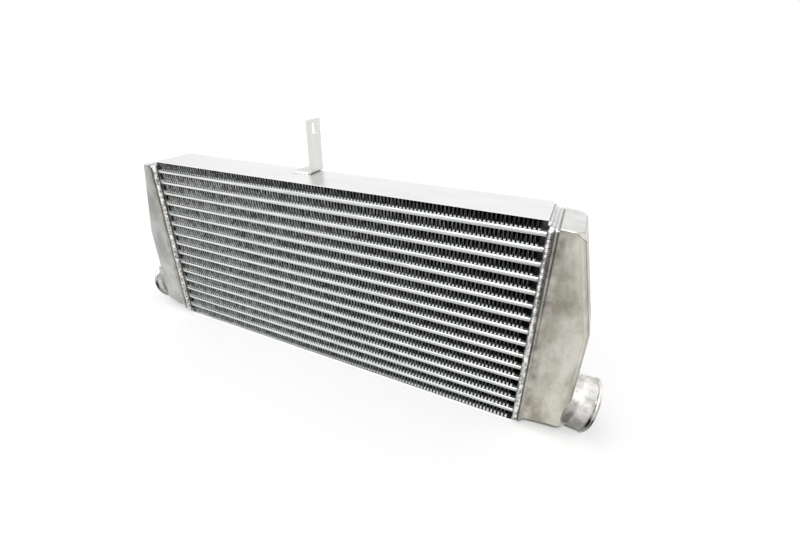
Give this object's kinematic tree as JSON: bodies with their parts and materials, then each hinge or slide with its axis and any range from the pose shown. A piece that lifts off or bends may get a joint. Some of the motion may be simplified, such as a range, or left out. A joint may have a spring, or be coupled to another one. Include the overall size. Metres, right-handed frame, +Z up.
{
  "type": "intercooler",
  "caption": "Bar-and-plate air-to-air charge cooler for a car: a finned aluminium core between two cast end tanks with angled hose outlets, and a slotted mounting bracket on top.",
  "frame": {"origin": "centre of the core's underside, on the plane that the cooler stands on", "axes": "+X along the core towards one end tank, -Y out of the face that the cooling air enters, +Z up"},
  "size_m": [0.7952, 0.0818, 0.3645],
  "materials": {
    "cover_plate": "brazed sheet, satin",
    "air_fin": "thin folded sheet, dull",
    "charge_tube": "bright drawn bar and brazed sheet",
    "turbulator": "thin folded sheet, dull",
    "cast_tank": "fine sand-cast skin, satin, with a machined outlet",
    "weld": "rippled weld bead",
    "bracket": "flat bar, satin"
  },
  "bodies": {
    "root": {"side_plate_bottom": "cover_plate", "side_plate_top": "cover_plate", "air_fin_01": "air_fin", "air_fin_02": "air_fin", "air_fin_03": "air_fin", "air_fin_04": "air_fin", "air_fin_05": "air_fin", "air_fin_06": "air_fin", "air_fin_07": "air_fin", "air_fin_08": "air_fin", "air_fin_09": "air_fin", "air_fin_10": "air_fin", "air_fin_11": "air_fin", "air_fin_12": "air_fin", "air_fin_13": "air_fin", "air_fin_14": "air_fin", "air_fin_15": "air_fin", "air_fin_16": "air_fin", "charge_tube_01": "charge_tube", "charge_tube_02": "charge_tube", "charge_tube_03": "charge_tube", "charge_tube_04": "charge_tube", "charge_tube_05": "charge_tube", "charge_tube_06": "charge_tube", "charge_tube_07": "charge_tube", "charge_tube_08": "charge_tube", "charge_tube_09": "charge_tube", "charge_tube_10": "charge_tube", "charge_tube_11": "charge_tube", "charge_tube_12": "charge_tube", "charge_tube_13": "charge_tube", "charge_tube_14": "charge_tube", "charge_tube_15": "charge_tube", "turbulator_01": "turbulator", "turbulator_02": "turbulator", "turbulator_03": "turbulator", "turbulator_04": "turbulator", "turbulator_05": "turbulator", "turbulator_06": "turbulator", "turbulator_07": "turbulator", "turbulator_08": "turbulator", "turbulator_09": "turbulator", "turbulator_10": "turbulator", "turbulator_11": "turbulator", "turbulator_12": "turbulator", "turbulator_13": "turbulator", "turbulator_14": "turbulator", "turbulator_15": "turbulator", "end_bars_left": "charge_tube", "end_bars_right": "charge_tube", "end_tank_left": "cast_tank", "end_tank_right": "cast_tank", "tank_weld_left": "weld", "tank_weld_right": "weld", "bracket": "bracket", "bracket_weld": "weld"}
  },
  "joints": []
}
